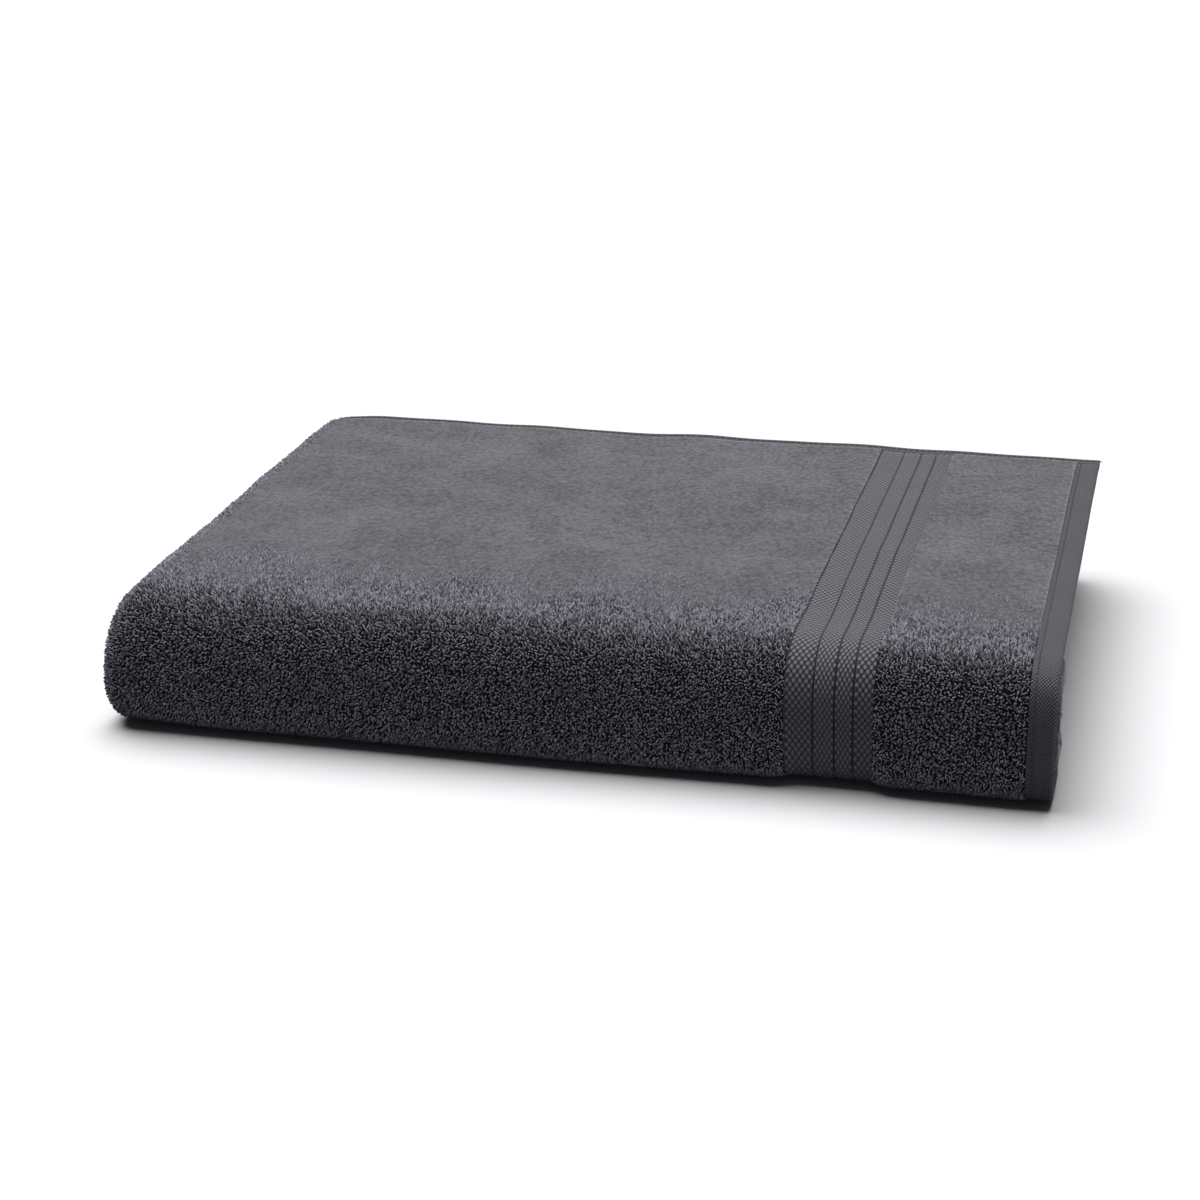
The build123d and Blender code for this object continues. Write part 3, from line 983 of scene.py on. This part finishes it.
# Where the pile lies flatter, on the fold's top that the light falls on, the tone is scaled down, so
# those loops take the lighter yarns more often: painted light.
pressed = node(pile_tree, "ShaderNodeMapRange",
               {"Value": pile_amount.outputs[0], "From Min": 0.5, "To Min": 0.7})
shaded_dye = node(pile_tree, "ShaderNodeMath", {0: dye.outputs[1], 1: pressed.outputs[0]},
                  operation="MULTIPLY")
pile_dyed = node(pile_tree, "GeometryNodeStoreNamedAttribute",
                 {"Geometry": pile_set.outputs["Instances"], "Name": "dye",
                  "Value": shaded_dye.outputs[0]}, data_type="FLOAT", domain="INSTANCE")
pile_real = node(pile_tree, "GeometryNodeRealizeInstances",
                 {"Geometry": pile_dyed.outputs["Geometry"]})
flow = node(pile_tree, "GeometryNodeSetShadeSmooth",
            {"Geometry": pile_real.outputs["Geometry"]}).outputs["Geometry"]
for material, above in zip(yarns, (-1.0, 0.35, 0.75)):
    dye_and_shading_of = node(pile_tree, "GeometryNodeInputNamedAttribute", {"Name": "dye"},
                  data_type="FLOAT")
    chosen = node(pile_tree, "FunctionNodeCompare", {0: dye_and_shading_of.outputs[0], 1: above},
                  data_type="FLOAT", operation="GREATER_THAN")
    flow = node(pile_tree, "GeometryNodeSetMaterial",
                {"Geometry": flow, "Selection": chosen.outputs[0],
                 "Material": material}).outputs["Geometry"]
pile_tree.links.new(flow, pile_out.inputs["Geometry"])


def grow_pile(name, cloth, leaf, alongs, acrosses, seed, spacing=LOOP_SPACING):
    """Loops on the outer face of a stretch of cloth, thick where the pile stands."""
    points, quads, places, index = face_of_cloth(alongs, acrosses, terry_upper)
    carrier = finish_mesh(name + "_ground", points, quads, places)
    mesh = run_tree(name, carrier, pile_tree, {"Seed": seed, "Spacing": spacing})
    piece = place_piece(name, mesh, leaf)
    cloth_pieces[cloth]["with"].append(piece)


PILE_START = NAP_START - 0.010
FRONT_SPAN = steps(PILE_START, UNDER_LINE, 0.0015)
LEFT_EDGE = TO_LEFT_FOLD - 0.011
PILE_GAP = 0.0004       # bare ground between the last loops and the flat weave

# The front's loops grow in five pieces side by side, so that none of them is too heavy.
columns = np.linspace(BORDER_STOP + PILE_GAP, LEFT_RIDGE, 6)
for number in range(5):
    grow_pile("front_pile_" + str(number + 1), "leaf_outer_terry", True,
              steps(columns[number], columns[number + 1], 0.0015), FRONT_SPAN, 60 + number)
grow_pile("end_pile", "leaf_end_terry", True,
          steps(HEM_STOP + PILE_GAP, BORDER_START - PILE_GAP, 0.0015), FRONT_SPAN, 65)
LEAF_SPAN = steps(LEAF_END + SIDE_HEM, PILE_START, 0.002)
grow_pile("leaf_outer_ridge_pile", "leaf_outer_terry", True, steps(LEFT_EDGE, LEFT_RIDGE, 0.001),
          LEAF_SPAN, 66)
grow_pile("leaf_inner_ridge_pile", "leaf_inner_terry", True,
          steps(LEFT_RIDGE, TO_INNER_LAYER, 0.001),
          chain(LEAF_END + SIDE_HEM, (0.0, 0.002), (UNDER_LINE, 0.0015)), 67)
BASE_SPAN = across_base(0.002, 0.002)
grow_pile("lower_outer_ridge_pile", "lower_outer_terry", False, steps(LEFT_EDGE, LEFT_RIDGE, 0.001),
          BASE_SPAN, 68, BACK_SPACING)
grow_pile("lower_inner_ridge_pile", "lower_inner_terry", False,
          steps(LEFT_RIDGE, TO_INNER_LAYER, 0.001), BASE_SPAN, 69, BACK_SPACING)
BACK_SPAN = steps(TO_BACK_FOLD - 0.010, TO_INNER_THIRD + 0.008, 0.002)
BACK_MIDDLE = (BORDER_STOP + LEFT_EDGE) / 2
grow_pile("back_pile_1", "lower_outer_terry", False,
          steps(BORDER_STOP + PILE_GAP, BACK_MIDDLE, 0.002), BACK_SPAN, 70, BACK_SPACING)
grow_pile("back_pile_2", "lower_outer_terry", False,
          steps(BACK_MIDDLE, LEFT_EDGE, 0.002), BACK_SPAN, 71, BACK_SPACING)
grow_pile("back_end_pile", "lower_end_terry", False,
          steps(HEM_STOP + PILE_GAP, BORDER_START - PILE_GAP, 0.002), BACK_SPAN, 72, BACK_SPACING)


# Every stretch of cloth is kept with the flat size it was woven to. A hem is too narrow to
# be a sheet of its own, so it goes with the stretch it is turned from.
hem_hosts = {
    "leaf_hem": "leaf_end_terry", "lower_hem": "lower_end_terry",
    "leaf_second_hem": "leaf_second_end_terry", "lower_second_hem": "lower_second_end_terry",
    "leaf_side_hem": "leaf_outer_terry", "lower_side_hem": "lower_outer_terry",
}
for hem, host in hem_hosts.items():
    made = cloth_pieces.pop(hem)
    cloth_pieces[host]["with"] += [made["piece"]] + made["with"]
